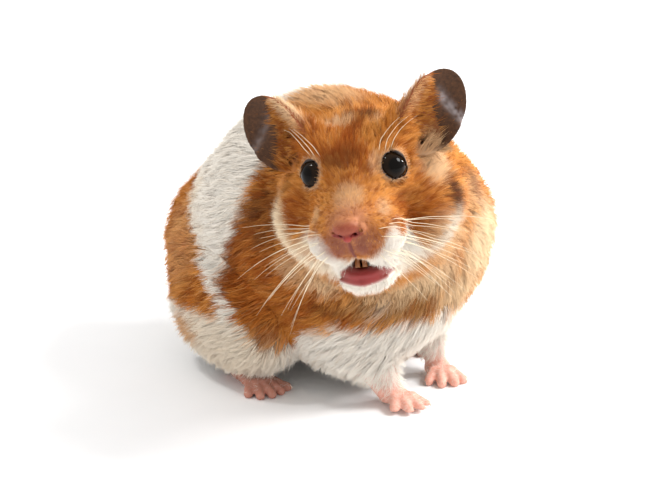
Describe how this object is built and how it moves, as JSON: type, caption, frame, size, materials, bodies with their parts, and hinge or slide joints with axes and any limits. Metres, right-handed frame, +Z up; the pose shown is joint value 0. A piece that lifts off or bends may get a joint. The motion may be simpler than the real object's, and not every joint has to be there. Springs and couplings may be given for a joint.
{
  "type": "syrian hamster model",
  "caption": "Life-size still model of a standing Syrian hamster, head turned to its right, with cupped ears, parted mouth and four small feet.",
  "frame": {"origin": "on the floor, under the middle of the model's bounding box", "axes": "+Z up; +Y from the front of the trunk to its tail, so the animal faces -Y and its left is +X"},
  "size_m": [0.0758, 0.1044, 0.08],
  "materials": {
    "golden_fur": "short golden fur with darker ticking and white bands",
    "white_fur": "soft cream-white fur",
    "pink_skin": "bare pink skin, slightly moist",
    "ear_skin": "thin dark leathery skin with a soft sheen",
    "eye": "wet gloss black",
    "tooth": "yellow-orange enamel"
  },
  "bodies": {
    "root": {"head": "golden_fur", "lower_jaw": "white_fur", "nose": "pink_skin", "upper_incisors": "tooth", "tongue": "pink_skin", "eye_right": "eye", "eye_left": "eye", "ear_right": "ear_skin", "ear_left": "ear_skin", "neck": "golden_fur", "trunk": "golden_fur", "tail": "pink_skin", "leg_fore_right": "white_fur", "leg_fore_left": "white_fur", "leg_hind_right": "white_fur", "leg_hind_left": "white_fur", "foot_fore_right": "pink_skin", "foot_fore_left": "pink_skin", "foot_hind_right": "pink_skin", "foot_hind_left": "pink_skin"}
  },
  "joints": []
}
